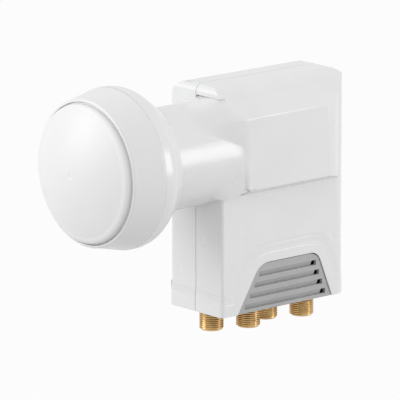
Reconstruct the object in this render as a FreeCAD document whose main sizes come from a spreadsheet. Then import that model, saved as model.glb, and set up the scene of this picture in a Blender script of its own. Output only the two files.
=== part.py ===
import FreeCAD, Part
import math
import os
import Sketcher

# A four-output satellite LNB. Millimetres; the feed axis is Y, the horn looks along -Y, +Z is up,
# and the origin is where the clamp neck meets the front face of the housing.

Vector = FreeCAD.Vector
doc = FreeCAD.newDocument("satellite_lnb")


# Driving sizes
SIZES = (
    # neck and bell
    ("neck_diameter", 40.0),
    ("neck_wall", 2.0),
    ("neck_start", 28.5),
    ("rim_land", 1.15),
    ("rim_reach", 54.7),
    ("rim_round", 1.0),
    ("crease_step", 1.5),
    ("crease_reach", 42.8),
    ("bell_step", 1.2),
    ("bell_reach", 41.3),
    ("band_reach", 39.0),
    ("bell_back_round", 8.0),
    ("bell_foot", 6.0),
    ("bell_foot_lean", 0.7),
    ("mouth_depth", 4.2),
    ("bell_wall", 2.2),
    # feed window
    ("window_diameter", 54.0),
    ("window_clearance", 0.35),
    ("window_proud", 1.6),
    ("window_edge_round", 0.9),
    ("window_rise", 6.2),
    ("window_wall", 1.8),
    # housing
    ("body_width", 30.8),
    ("body_depth", 65.0),
    ("crown_height", 27.0),
    ("body_drop", 62.2),
    ("shell_wall", 2.0),
    ("crown_round", 9.0),
    ("front_round", 1.2),
    ("far_front_round", 2.2),
    ("back_round", 6.5),
    ("crest_front_round", 3.0),
    ("crest_back_round", 5.5),
    ("room_front_corner", 0.8),
    ("room_crest_round", 2.4),
    ("seam_gap", 0.3),
    ("brow_height", 23.0),
    ("neck_skin", 0.05),
    ("recess_depth", 2.4),
    ("recess_drop", 11.5),
    # tunnel round the waveguide
    ("tunnel_width", 40.8),
    ("tunnel_start", 9.8),
    ("tunnel_top", 15.2),
    ("tunnel_bottom", 13.0),
    ("tunnel_undercut", 2.5),
    ("tunnel_back_round", 13.5),
    ("tunnel_back_gap", 2.5),
    ("tunnel_edge_round", 0.8),
    ("shoulder_inset", 3.6),
    ("shoulder_drop", 1.9),
    ("fairing_lead", 5.0),
    ("fairing_inset", 0.15),
    ("fairing_overlap", 0.5),
    ("fairing_foot_width", 12.5),
    ("fairing_corner_width", 17.2),
    ("fairing_corner_drop", 15.4),
    ("fairing_ear_width", 15.6),
    ("fairing_ear_height", 18.8),
    ("fairing_top_width", 11.7),
    ("fairing_top_height", 20.4),
    ("fairing_swell", 0.5),
    ("brow_lap", 0.3),
    # skirt and grip cut-out
    ("skirt_height", 9.0),
    ("skirt_rise", 0.35),
    ("skirt_ramp", 3.0),
    ("skirt_border", 8.0),
    ("grip_front_foot", 7.6),
    ("grip_front_shoulder", 19.0),
    ("grip_rear_shoulder", 49.0),
    ("grip_rear_foot", 56.6),
    ("grip_height", 18.7),
    ("grip_front_round", 8.0),
    ("grip_rear_round", 5.5),
    ("border_round", 10.0),
    # weather guard
    ("guard_clearance", 0.35),
    ("guard_wall", 1.2),
    ("guard_front_corner", 1.0),
    ("guard_back_corner", 2.4),
    ("guard_height", 30.0),
    ("guard_travel", 22.0),
    ("grip_recess", 0.5),
    ("louvre_pitch", 4.0),
    ("louvre_first", 1.4),
    ("louvre_height", 2.0),
    ("louvre_depth", 1.1),
    ("louvre_step", 0.25),
    ("louvre_front_margin", 2.6),
    ("louvre_rear_margin", 2.3),
    ("vent_length", 2.1),
    ("peg_diameter", 2.4),
    ("peg_height", 5.0),
    ("peg_offset", 7.0),
    # casting
    ("fit_gap", 0.2),
    ("bore_diameter", 18.0),
    ("tube_diameter", 24.0),
    ("tube_end", 32.5),
    ("end_wall", 2.5),
    ("collar_depth", 6.0),
    ("horn_throat", 34.0),
    ("flange_thickness", 5.0),
    ("horn_lip", 1.2),
    ("choke_land", 2.05),
    ("choke_width", 2.0),
    ("choke_depth", 3.4),
    ("ring_section", 1.2),
    ("ring_gap", 0.05),
    ("tray_margin", 0.7),
    ("tray_top", 14.0),
    ("tray_bottom", 57.5),
    ("lid_thickness", 1.35),
    ("tray_front_corner", 1.0),
    ("tray_back_corner", 2.4),
    ("tray_wall", 3.4),
    ("tray_ledge", 2.0),
    ("tray_floor", 2.5),
    ("web_margin", 1.0),
    ("board_level", 1.0),
    ("board_thickness", 1.0),
    ("gasket_thickness", 0.8),
    ("screw_diameter", 1.8),
    ("screw_head", 2.6),
    ("screw_head_depth", 0.7),
    ("screw_length", 6.0),
    # probes
    ("probe_diameter", 1.3),
    ("bush_diameter", 4.0),
    ("upright_probe_place", 18.0),
    ("rod_place", 22.0),
    ("bent_probe_place", 26.0),
    ("upright_probe_reach", 4.5),
    ("bent_probe_reach", 4.5),
    ("probe_foot", 20.0),
    # connectors
    ("connector_front_margin", 10.45),
    ("connector_rear_margin", 12.85),
    ("connector_stagger", 2.8),
    ("connector_tip", 71.5),
    ("thread_diameter", 9.5),
    ("thread_chamfer", 0.7),
    ("shank_diameter", 8.0),
    ("collar_diameter", 11.0),
    ("collar_thickness", 1.6),
    ("relief_depth", 0.5),
    ("relief_length", 1.0),
    ("insulator_diameter", 6.4),
    ("contact_diameter", 2.1),
    ("contact_bore", 1.0),
    ("seal_section", 0.8),
)

sheet = doc.addObject("Spreadsheet::Sheet", "Dims")
for row, (alias, number) in enumerate(SIZES, start=1):
    sheet.set("A%d" % row, alias)
    sheet.set("B%d" % row, str(number))
    sheet.setAlias("B%d" % row, alias)
doc.recompute()


class Size:
    """A length that keeps the sheet expression it is worked out from."""

    def __init__(self, value, text):
        self.value = float(value)
        self.text = text

    def __add__(self, other):
        other = as_size(other)
        return Size(self.value + other.value, "(%s + %s)" % (self.text, other.text))

    def __sub__(self, other):
        other = as_size(other)
        return Size(self.value - other.value, "(%s - %s)" % (self.text, other.text))

    def __mul__(self, factor):
        factor = as_size(factor)
        return Size(self.value * factor.value, "(%s * %s)" % (self.text, factor.text))

    def __truediv__(self, divisor):
        divisor = as_size(divisor)
        return Size(self.value / divisor.value, "(%s / %s)" % (self.text, divisor.text))

    def __neg__(self):
        return as_size(0) - self

    def __radd__(self, other):
        return as_size(other) + self

    def __rsub__(self, other):
        return as_size(other) - self

    def __rmul__(self, other):
        return as_size(other) * self


def as_size(number):
    if isinstance(number, Size):
        return number
    return Size(number, repr(float(number)))


def root(size):
    return Size(math.sqrt(size.value), "sqrt(%s)" % size.text)


def dim(alias):
    return Size(sheet.get(alias), "Dims." + alias)


class Arc:
    """The edge between two corners of an outline, as an arc about a centre."""

    def __init__(self, across, up, radius, anticlockwise=True):
        self.across = as_size(across)
        self.up = as_size(up)
        self.radius = as_size(radius)
        self.anticlockwise = anticlockwise


# Helpers that make document objects
def bind(obj, **sizes):
    """Bind properties to sheet expressions; a double underscore stands for a dot."""
    for path, size in sizes.items():
        obj.setExpression(path.replace("__", "."), as_size(size).text)
    return obj


def origin_plane(body, role):
    for feature in body.Origin.OriginFeatures:
        if feature.Role == role:
            return feature
    raise ValueError(role)


def outline(body, name, role, steps, offset=0):
    """A closed sketch on an origin plane: corners (across, up) with an Arc between two of them."""
    sketch = body.newObject("Sketcher::SketchObject", name)
    sketch.AttachmentSupport = [(origin_plane(body, role), "")]
    sketch.MapMode = "FlatFace"
    bind(sketch, AttachmentOffset__Base__z=offset)
    corners = [(as_size(s[0]), as_size(s[1])) for s in steps if not isinstance(s, Arc)]
    edges = []
    for index, step in enumerate(steps):
        if isinstance(step, Arc):
            continue
        following = steps[(index + 1) % len(steps)]
        edges.append(following if isinstance(following, Arc) else None)
    count = len(corners)
    ends = []
    for index, arc in enumerate(edges):
        start = Vector(corners[index][0].value, corners[index][1].value, 0)
        after = corners[(index + 1) % count]
        finish = Vector(after[0].value, after[1].value, 0)
        if arc is None:
            sketch.addGeometry(Part.LineSegment(start, finish), False)
            ends.append((1, 2))
            continue
        centre = Vector(arc.across.value, arc.up.value, 0)
        circle = Part.Circle(centre, Vector(0, 0, 1), arc.radius.value)
        first, last = (start, finish) if arc.anticlockwise else (finish, start)
        angles = [math.atan2(p.y - centre.y, p.x - centre.x) for p in (first, last)]
        if angles[1] <= angles[0]:
            angles[1] += 2 * math.pi
        sketch.addGeometry(Part.ArcOfCircle(circle, angles[0], angles[1]), False)
        ends.append((1, 2) if arc.anticlockwise else (2, 1))
    for index in range(count):
        after = (index + 1) % count
        sketch.addConstraint(
            Sketcher.Constraint("Coincident", index, ends[index][1], after, ends[after][0])
        )
    for index, (across, up) in enumerate(corners):
        for kind, size in (("DistanceX", across), ("DistanceY", up)):
            number = sketch.addConstraint(
                Sketcher.Constraint(kind, -1, 1, index, ends[index][0], size.value)
            )
            sketch.setExpression("Constraints[%d]" % number, size.text)
    for index, arc in enumerate(edges):
        if arc is None:
            continue
        number = sketch.addConstraint(Sketcher.Constraint("Radius", index, arc.radius.value))
        sketch.setExpression("Constraints[%d]" % number, arc.radius.text)
    return sketch


def padded(name, role, steps, length, offset=0, backwards=False, symmetric=False, taper=None):
    """A body with one padded outline."""
    body = doc.addObject("PartDesign::Body", name)
    sketch = outline(body, name + "_outline", role, steps, offset)
    pad = body.newObject("PartDesign::Pad", name + "_pad")
    pad.Profile = sketch
    pad.Reversed = backwards
    if symmetric:
        pad.SideType = "Symmetric"
    bind(pad, Length=length)
    if taper is not None:
        pad.setExpression("TaperAngle", taper)
    doc.recompute()
    return body


def revolved(name, role, steps):
    """A body turned about the upright axis of its sketch."""
    body = doc.addObject("PartDesign::Body", name)
    sketch = outline(body, name + "_profile", role, steps)
    turn = body.newObject("PartDesign::Revolution", name + "_turn")
    turn.Profile = sketch
    turn.ReferenceAxis = (sketch, ["V_Axis"])
    turn.Angle = 360
    doc.recompute()
    return body


def rounded(body, radius, wanted):
    """Round the edges of a body's last feature whose middle point satisfies a test."""
    base = body.Tip
    names = []
    for number, edge in enumerate(base.Shape.Edges, start=1):
        if wanted(edge.valueAt((edge.FirstParameter + edge.LastParameter) / 2)):
            names.append("Edge%d" % number)
    fillet = body.newObject("PartDesign::Fillet", body.Name + "_round")
    fillet.Base = (base, names)
    bind(fillet, Radius=radius)
    doc.recompute()
    return body


def near(number, size):
    return abs(number - as_size(size).value) < 1e-4


def box(name, low, high):
    """A box between two corners given as sizes."""
    solid = doc.addObject("Part::Box", name)
    bind(
        solid,
        Length=high[0] - low[0],
        Width=high[1] - low[1],
        Height=high[2] - low[2],
        Placement__Base__x=low[0],
        Placement__Base__y=low[1],
        Placement__Base__z=low[2],
    )
    return solid


TURNS = {
    "x": FreeCAD.Rotation(Vector(0, 1, 0), 90),
    "y": FreeCAD.Rotation(Vector(1, 0, 0), -90),
    "z": FreeCAD.Rotation(),
}


def rod(name, direction, start, diameter, length):
    """A cylinder that runs from a point along +x, +y or +z."""
    solid = doc.addObject("Part::Cylinder", name)
    solid.Placement = FreeCAD.Placement(Vector(), TURNS[direction])
    bind(
        solid,
        Radius=as_size(diameter) / 2,
        Height=length,
        Placement__Base__x=start[0],
        Placement__Base__y=start[1],
        Placement__Base__z=start[2],
    )
    return solid


def fused(name, solids):
    joined = doc.addObject("Part::MultiFuse", name)
    joined.Shapes = solids
    doc.recompute()
    return joined


def cut(name, base, tool):
    left = doc.addObject("Part::Cut", name)
    left.Base = base
    left.Tool = tool
    doc.recompute()
    return left


def common(name, first, second):
    shared = doc.addObject("Part::MultiCommon", name)
    shared.Shapes = [first, second]
    doc.recompute()
    return shared


def grouped(name, solids):
    group = doc.addObject("Part::Compound", name)
    group.Links = solids
    doc.recompute()
    return group


def plan_block(name, inset, low, height, corners=None, taper=None):
    """An upright block on the plan of the housing, moved in by an inset."""
    half = half_width - inset
    front = as_size(inset)
    back = depth - inset
    if corners:
        fore, aft = corners
        far_fore = fore
    else:
        fore = front_round - inset
        aft = back_round - inset
        far_fore = dim("far_front_round") - inset
    steps = [
        (-half + far_fore, front),
        (half - fore, front),
        Arc(half - fore, front + fore, fore),
        (half, front + fore),
        (half, back - aft),
        Arc(half - aft, back - aft, aft),
        (half - aft, back),
        (-half + aft, back),
        Arc(-half + aft, back - aft, aft),
        (-half, back - aft),
        (-half, front + far_fore),
        Arc(-half + far_fore, front + far_fore, far_fore),
    ]
    return padded(name, "XY_Plane", steps, height, offset=low, taper=taper)


def grip_outline(inset, low):
    """The arch of the grip on the side of the housing, moved in by an inset."""
    top = bottom + grip_height - inset
    front_lean = (front_shoulder - front_foot) / grip_height
    rear_lean = (rear_foot - rear_shoulder) / grip_height
    side = as_size(inset) * 1.15
    below = bottom - low
    return [
        (front_foot - front_lean * below + side, low),
        (rear_foot + rear_lean * below - side, low),
        (rear_shoulder + rear_lean * inset - side, top),
        (front_shoulder - front_lean * inset + side, top),
    ]


# Sizes that several pieces share
half_width = dim("body_width") / 2
depth = dim("body_depth")
crown = dim("crown_height")
bottom = -dim("body_drop")
wall = dim("shell_wall")
front_round = dim("front_round")
back_round = dim("back_round")
neck_r = dim("neck_diameter") / 2
neck_bore = neck_r - dim("neck_wall")
rim_y = -dim("rim_reach")
window_r = dim("window_diameter") / 2
mouth_r = window_r + dim("window_clearance")
half_tunnel = dim("tunnel_width") / 2
tunnel_start = dim("tunnel_start")
grip_height = dim("grip_height")
front_foot = dim("grip_front_foot")
front_shoulder = dim("grip_front_shoulder")
rear_shoulder = dim("grip_rear_shoulder")
rear_foot = dim("grip_rear_foot")
skirt_rise = dim("skirt_rise")
guard_clearance = dim("guard_clearance")
guard_wall = dim("guard_wall")
guard_outside = wall + guard_clearance
guard_inside = guard_outside + guard_wall
fit_gap = dim("fit_gap")
parts = {}


# Housing block: what an arch, a plan and a side profile have in common
def housing_block(name, inset, low, corners, crest):
    half = half_width - inset
    top = crown - inset
    corner = dim("crown_round") - inset
    front = as_size(inset)
    back = depth - inset
    fore, aft = crest
    arch = [
        (-half, low),
        (half, low),
        (half, top - corner),
        Arc(half - corner, top - corner, corner),
        (half - corner, top),
        (-half + corner, top),
        Arc(-half + corner, top - corner, corner),
        (-half, top - corner),
    ]
    profile = [
        (front, low),
        (back, low),
        (back, top - aft),
        Arc(back - aft, top - aft, aft),
        (back - aft, top),
        (front + fore, top),
        Arc(front + fore, top - fore, fore),
        (front, top - fore),
    ]
    arch_body = padded(name + "_arch", "XZ_Plane", arch, back - front, offset=-front, backwards=True)
    plan_body = plan_block(name + "_plan", inset, low, top - low, corners)
    profile_body = padded(name + "_profile", "YZ_Plane", profile, half * 2, symmetric=True)
    return common(name, common(name + "_upright", arch_body, plan_body), profile_body)


# Tunnel: the wider block that the waveguide lies in
def tunnel_block(name, inset):
    half = half_tunnel - inset
    shoulder_x = half_width - dim("shoulder_inset") - inset
    shoulder_z = crown - dim("shoulder_drop") - inset
    base = half_width - wall - inset
    under = dim("tunnel_bottom") - as_size(inset) * 0.6
    low = -(under + dim("tunnel_undercut") * 1.4)
    top = dim("tunnel_top") - as_size(inset) * 0.4
    steps = [
        (-base, low),
        (base, low),
        (half, -under),
        (half, top),
        (shoulder_x, shoulder_z),
        (-shoulder_x, shoulder_z),
        (-half, top),
        (-half, -under),
    ]
    front = tunnel_start + inset
    back = depth - dim("tunnel_back_gap") - inset
    section = padded(
        name + "_section", "XZ_Plane", steps, back - front, offset=-front, backwards=True
    )
    middle = (front.value + back.value) / 2
    edge_round = dim("tunnel_edge_round")
    rounded(section, edge_round, lambda p: near(abs(p.x), half) and near(p.y, middle))
    turn = dim("tunnel_back_round") - inset
    plan = [
        (-half, front - 1),
        (half, front - 1),
        (half, back - turn),
        Arc(half - turn, back - turn, turn),
        (half - turn, back),
        (-half + turn, back),
        Arc(-half + turn, back - turn, turn),
        (-half, back - turn),
    ]
    plan_body = padded(name + "_plan", "XY_Plane", plan, crown * 4, offset=-crown * 2)
    return common(name, section, plan_body)


# Neck and bell: the outside as one turned solid, and the hollow as another
neck_inner_end = tunnel_start + wall
bell_back = dim("bell_back_round")
band_y = -dim("band_reach")
rim_r = mouth_r + dim("rim_land")
crease_r = rim_r + dim("crease_step")
rim_round = dim("rim_round")
neck_start = dim("neck_start")
foot_r = neck_r + dim("bell_foot")
foot_y = -neck_start - dim("bell_foot_lean")
bell_r = crease_r + dim("bell_step")
BACK_TURN = math.radians(35)
feed_outside = revolved(
    "feed_outside",
    "XY_Plane",
    [
        (0, rim_y),
        (rim_r - rim_round, rim_y),
        Arc(rim_r - rim_round, rim_y + rim_round, rim_round),
        (rim_r, rim_y + rim_round),
        (crease_r, -dim("crease_reach")),
        (bell_r, -dim("bell_reach")),
        (bell_r, band_y),
        Arc(bell_r - bell_back, band_y, bell_back),
        (bell_r - bell_back * (1 - math.cos(BACK_TURN)), band_y + bell_back * math.sin(BACK_TURN)),
        (foot_r, foot_y),
        (neck_r, -neck_start),
        (neck_r, neck_inner_end),
        (0, neck_inner_end),
    ],
)
bell_void_r = bell_r - dim("bell_wall")
bell_void_front = -dim("bell_reach") + 1
feed_hollow = revolved(
    "feed_hollow",
    "XY_Plane",
    [
        (0, rim_y - 1),
        (mouth_r, rim_y - 1),
        (mouth_r, bell_void_front - (bell_void_r - mouth_r) * 2),
        (bell_void_r, bell_void_front),
        (bell_void_r, band_y),
        (foot_r - dim("bell_wall") / 2, foot_y - dim("bell_wall")),
        (neck_bore, -neck_start - dim("neck_wall")),
        (neck_bore, neck_inner_end + 1),
        (0, neck_inner_end + 1),
    ],
)

# Fairing: a loft that carries the round neck over into the tunnel's section on the near half
FAIRING_TURNS = [math.radians(angle) for angle in (-72, -46, -22, 20, 52, 70)]


fairing_r = neck_r - dim("fairing_inset")


def ring_point(turn):
    return (fairing_r * math.cos(turn), fairing_r * math.sin(turn))


def both_sides(near_points, arcs):
    """An outline from near points, foot to crest, and their mirror images; arcs lie on the neck."""
    far_points = [(-across, up) for across, up in reversed(near_points)]
    last = len(near_points) - 1
    steps = []
    for index, point in enumerate(near_points):
        steps.append(point)
        if index in arcs:
            steps.append(Arc(0, 0, fairing_r))
    for index, point in enumerate(far_points):
        steps.append(point)
        following = last - 1 - index if index < last else last
        if following in arcs:
            steps.append(Arc(0, 0, fairing_r))
    return steps


roof_run = half_tunnel - (half_width - dim("shoulder_inset"))
roof_climb = crown - dim("shoulder_drop") - dim("tunnel_top")
neck_points = [ring_point(turn) for turn in FAIRING_TURNS]
swell = dim("fairing_swell")
front_points = [
    (dim("fairing_foot_width"), -dim("fairing_corner_drop") - swell),
    (dim("fairing_corner_width") - swell * 2, -dim("fairing_corner_drop") - swell),
    neck_points[2],
    neck_points[3],
    (dim("fairing_ear_width"), dim("fairing_ear_height")),
    (dim("fairing_top_width"), dim("fairing_top_height")),
]
crown_r = dim("crown_round")
brow_rise = dim("brow_height") + dim("brow_lap") - crown + crown_r
brow_x = half_width - crown_r + root(crown_r * crown_r - brow_rise * brow_rise) + dim("brow_lap")
ear_points = [
    (dim("fairing_foot_width"), -dim("fairing_corner_drop")),
    (dim("fairing_corner_width"), -dim("fairing_corner_drop")),
    neck_points[2],
    neck_points[3],
    (half_width + swell, crown - crown_r + swell * 3),
    (brow_x, dim("brow_height") + dim("brow_lap")),
]
seat_in = dim("fairing_inset")
seat_points = [
    (dim("fairing_foot_width"), -dim("tunnel_bottom") - dim("tunnel_undercut")),
    (half_tunnel - dim("fairing_overlap"), -dim("tunnel_bottom") + seat_in),
    (half_tunnel - seat_in, neck_points[2][1]),
    (half_tunnel - seat_in, neck_points[3][1]),
    (half_tunnel - roof_run * 0.4 - seat_in, dim("tunnel_top") + roof_climb * 0.4 - seat_in),
    (half_tunnel - roof_run - seat_in, dim("tunnel_top") + roof_climb - seat_in),
]
fairing = doc.addObject("PartDesign::Body", "fairing")
fairing_sections = []
for name, points, arcs, place in (
    ("ring", neck_points, (0, 1, 2, 3, 4, 5), -dim("fairing_lead")),
    ("front", front_points, (2,), as_size(0)),
    ("ear", ear_points, (2,), dim("recess_depth")),
    ("seat", seat_points, (), tunnel_start + dim("fairing_overlap")),
):
    steps = both_sides(points, arcs)
    fairing_sections.append(outline(fairing, "fairing_" + name, "XZ_Plane", steps, offset=-place))
fairing_loft = fairing.newObject("PartDesign::AdditiveLoft", "fairing_loft")
fairing_loft.Profile = fairing_sections[0]
fairing_loft.Sections = fairing_sections[1:]
fairing_loft.Ruled = True
doc.recompute()
far_side = box("far_side", (-half_tunnel * 2, -neck_start, -crown * 2), (0, depth, crown * 2))
near_fairing = cut("near_fairing", fairing, far_side)

# Skirt: a raised band round the foot that climbs over each grip
ramp = dim("skirt_ramp")
band_height = dim("skirt_height") - ramp
skirt_band = plan_block("skirt_band", -skirt_rise, bottom, band_height)
skirt_slope = plan_block(
    "skirt_slope",
    -skirt_rise,
    bottom + band_height,
    ramp,
    taper="-atan(Dims.skirt_rise / Dims.skirt_ramp)",
)
skirt_limit = plan_block("skirt_limit", -skirt_rise, bottom, grip_height * 2)
arch_sink = skirt_rise
arch_base = half_width - arch_sink
arch_steps = grip_outline(-dim("skirt_border") - ramp, bottom)
arches = []
for side, backwards in (("near", False), ("far", True)):
    arch = padded(
        "arch_" + side,
        "YZ_Plane",
        arch_steps,
        skirt_rise * 2.8,
        offset=-arch_base if backwards else arch_base,
        backwards=backwards,
        taper="-atan(Dims.skirt_ramp / Dims.skirt_rise)",
    )
    ridge = bottom.value + grip_height.value
    rounded(
        arch,
        dim("border_round"),
        lambda p: p.z > ridge and 0.1 < abs(p.x) - arch_base.value < skirt_rise.value * 2.7,
    )
    arches.append(common("arch_band_" + side, arch, skirt_limit))

# Housing shell before it is split
def recess(name, grow):
    """The room under the brow of the near half, round the neck; grow adds a wall to it."""
    return box(
        name,
        (-as_size(grow), -wall, -dim("recess_drop") - grow),
        (half_width * 2, dim("recess_depth") + grow, dim("brow_height") + grow),
    )


outside_crest = (dim("crest_front_round"), dim("crest_back_round"))
room_corners = (dim("room_front_corner"), back_round - wall)
room_crest = (dim("room_crest_round"), dim("room_crest_round"))
solid_block = housing_block("solid_block", 0, bottom, None, outside_crest)
room_block = housing_block("room_block", wall, bottom - 1, room_corners, room_crest)
housing_outside = fused(
    "housing_outside",
    [
        cut("recessed_block", solid_block, recess("recess", 0)),
        tunnel_block("tunnel", 0),
        near_fairing,
        feed_outside,
        skirt_band,
        skirt_slope,
    ]
    + arches,
)
grip_opening = padded(
    "grip_opening",
    "YZ_Plane",
    grip_outline(0, bottom - 1),
    dim("body_width") + 20,
    symmetric=True,
)


def grip_rounds(body, top):
    """Round the front corner of an arch more than its rear corner."""
    middle = (front_shoulder.value + rear_shoulder.value) / 2
    rounded(
        body,
        dim("grip_front_round"),
        lambda p: near(p.x, 0) and near(p.z, top) and p.y < middle,
    )
    rounded(
        body,
        dim("grip_rear_round"),
        lambda p: near(p.x, 0) and near(p.z, top) and p.y > middle + grip_height.value / 2,
    )


grip_rounds(grip_opening, bottom + grip_height)
housing_hollow = fused(
    "housing_hollow",
    [
        cut("housing_room", room_block, recess("recess_walls", wall)),
        tunnel_block("tunnel_room", wall),
        feed_hollow,
        grip_opening,
    ],
)
housing = cut("housing", housing_outside, housing_hollow)


# Parting: the side cover is the far half of the housing, less the notch round the neck
seam = dim("seam_gap") / 2
neck_skin_r = neck_r + dim("neck_skin")
peg_d = dim("peg_diameter")
peg_z = bottom + dim("peg_height")
peg_x = dim("peg_offset")


def cover_zone(name, grow, notch_r):
    """The room of the side cover, less a round for the neck; a positive grow makes it smaller."""
    half_space = box(
        name + "_half",
        (-grow - half_tunnel * 2, -neck_start / 2, bottom * 2),
        (-as_size(grow), depth * 2, crown * 2),
    )
    notch = rod(
        name + "_notch", "y", (0, -neck_start, 0), notch_r * 2, neck_start + tunnel_start + grow
    )
    return cut(name, half_space, notch)


def guide_pegs(name, across):
    """The two pegs of one shell that hold the weather guard at the ends of its travel."""
    reach = guard_clearance + guard_wall + 0.5
    fore = rod(name + "_fore", "y", (across, wall - 0.5, peg_z), peg_d, reach)
    aft = rod(name + "_aft", "y", (across, depth - wall + 0.5 - reach, peg_z), peg_d, reach)
    return [fore, aft]


parts["main_shell"] = fused(
    "main_shell",
    [cut("main_half", housing, cover_zone("main_limit", -seam, neck_skin_r))] + guide_pegs("main_peg", peg_x),
)
parts["side_cover"] = fused(
    "side_cover",
    [common("cover_half", housing, cover_zone("cover_limit", seam, neck_skin_r + seam * 2))]
    + guide_pegs("cover_peg", -peg_x),
)

# Weather guard: a sleeve with a louvred grip on each side
sleeve = plan_block(
    "sleeve",
    guard_outside,
    bottom,
    dim("guard_height"),
    corners=(dim("guard_front_corner"), back_round - guard_outside),
)
grip_face = half_width + skirt_rise - dim("grip_recess")
grip = padded(
    "grip", "YZ_Plane", grip_outline(guard_clearance, bottom), grip_face * 2, symmetric=True
)
grip_rounds(grip, bottom + grip_height - guard_clearance)
guard_room = plan_block(
    "guard_room",
    guard_inside,
    bottom - 1,
    dim("guard_height") + 2,
    corners=(dim("guard_front_corner"), dim("guard_back_corner")),
)
guard_cuts = [guard_room]
louvre_height = dim("louvre_height")
louvre_count = 4
for index in range(louvre_count):
    low = bottom + dim("louvre_first") + dim("louvre_pitch") * index
    climb = low + louvre_height / 2 - bottom
    start = front_foot + (front_shoulder - front_foot) * (climb / grip_height)
    start = start + dim("louvre_front_margin")
    end = rear_foot - (rear_foot - rear_shoulder) * (climb / grip_height)
    end = end - dim("louvre_rear_margin")
    for side, sign in (("near", 1), ("far", -1)):
        steps = [
            ((grip_face + 0.5) * sign, low),
            ((grip_face + 0.5) * sign, low + louvre_height),
            ((grip_face - dim("louvre_step")) * sign, low + louvre_height),
            ((grip_face - dim("louvre_depth")) * sign, low),
        ]
        name = "louvre_%s_%d" % (side, index + 1)
        guard_cuts.append(
            padded(name, "XZ_Plane", steps, end - start, offset=-start, backwards=True)
        )
    guard_cuts.append(
        box(
            "vent_%d" % (index + 1),
            (-half_width - 5, end - dim("vent_length"), low),
            (half_width + 5, end, low + louvre_height),
        )
    )
slot_half = peg_d / 2 + 0.3
for name, across in (("main_slot", peg_x), ("cover_slot", -peg_x)):
    guard_cuts.append(
        box(
            name,
            (across - slot_half, -5, peg_z - slot_half),
            (across + slot_half, depth + 5, peg_z + dim("guard_travel") + slot_half),
        )
    )
parts["weather_guard"] = cut(
    "weather_guard", fused("guard_solid", [sleeve, grip]), fused("guard_cuts", guard_cuts)
)

# Feed window: a domed cap with a skirt that stands on the horn flange
flange_y = rim_y + dim("mouth_depth")
window_wall = dim("window_wall")
edge = dim("window_edge_round")
edge_y = rim_y - dim("window_proud")
rise = dim("window_rise")
dome_edge = window_r - edge
dome_r = (dome_edge * dome_edge + rise * rise) / (rise * 2)
apex = edge_y - rise
dome_centre = apex + dome_r
inner_r = window_r - window_wall
inner_dome = dome_r - window_wall
inner_edge = inner_r - edge
inner_edge_y = dome_centre - root(inner_dome * inner_dome - inner_edge * inner_edge)
parts["feed_window"] = revolved(
    "feed_window",
    "XY_Plane",
    [
        (0, apex),
        Arc(0, dome_centre, dome_r),
        (dome_edge, edge_y),
        Arc(dome_edge, edge_y + edge, edge),
        (window_r, edge_y + edge),
        (window_r, flange_y),
        (inner_r, flange_y),
        (inner_r, edge_y + edge),
        (inner_edge, inner_edge_y),
        Arc(0, dome_centre, inner_dome, anticlockwise=False),
        (0, apex + window_wall),
    ],
)

# Casting: horn, waveguide and tray
ring = dim("ring_section")
ring_gap = dim("ring_gap")
ring_r = window_r - window_wall / 2
ring_half = ring / 2 + ring_gap
bore_r = dim("bore_diameter") / 2
tube_r = dim("tube_diameter") / 2
tube_end = dim("tube_end")
throat = -dim("horn_throat")
choke_out = ring_r - ring_half - dim("choke_land")
choke_r = choke_out - dim("choke_width")
horn_r = choke_r - dim("horn_lip")
flange_r = mouth_r - fit_gap
flange_back = flange_y + dim("flange_thickness")
collar_r = neck_bore - fit_gap
horn_tube = revolved(
    "horn_tube",
    "XY_Plane",
    [
        (0, tube_end),
        (0, tube_end - dim("end_wall")),
        (bore_r, tube_end - dim("end_wall")),
        (bore_r, throat),
        (horn_r, flange_y),
        (choke_r, flange_y),
        (choke_r, flange_y + dim("choke_depth")),
        (choke_out, flange_y + dim("choke_depth")),
        (choke_out, flange_y),
        (ring_r - ring_half, flange_y),
        (ring_r - ring_half, flange_y + ring + ring_gap),
        (ring_r + ring_half, flange_y + ring + ring_gap),
        (ring_r + ring_half, flange_y),
        (flange_r, flange_y),
        (flange_r, flange_back),
        (choke_out, flange_back),
        (tube_r, throat),
        (tube_r, -2 - dim("collar_depth")),
        (collar_r, -2 - dim("collar_depth")),
        (collar_r, -2),
        (tube_r, -2),
        (tube_r, tube_end),
    ],
)


def ring_seal(name, radius, section, direction):
    """A round sealing ring about the Y or Z axis."""
    seal = doc.addObject("Part::Torus", name)
    seal.Placement = FreeCAD.Placement(Vector(), TURNS[direction])
    bind(seal, Radius1=radius, Radius2=as_size(section) / 2)
    return seal


parts["window_seal"] = bind(
    ring_seal("window_seal", ring_r, ring, "y"),
    Placement__Base__y=flange_y + ring / 2 + ring_gap / 2,
)

tray_inset = guard_inside + dim("tray_margin")
tray_x = half_width - tray_inset
tray_front = tray_inset
tray_rear = depth - tray_inset
tray_low = -dim("tray_bottom")
tray_high = -dim("tray_top")
tray_wall = dim("tray_wall")
rim_x = tray_x - dim("lid_thickness") - dim("gasket_thickness")
lid_x = rim_x + dim("gasket_thickness")
board_x = dim("board_level")
tray_corners = (dim("tray_front_corner"), dim("tray_back_corner"))


def tray_slab(name, low, high):
    """A slab of the tray's plan between two levels of X."""
    plan = plan_block(name + "_plan", tray_inset, tray_low, tray_high - tray_low, tray_corners)
    between = box(
        name + "_between", (low, -5, tray_low - 5), (high, depth + 5, tray_high + 5)
    )
    return common(name, plan, between)


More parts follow.
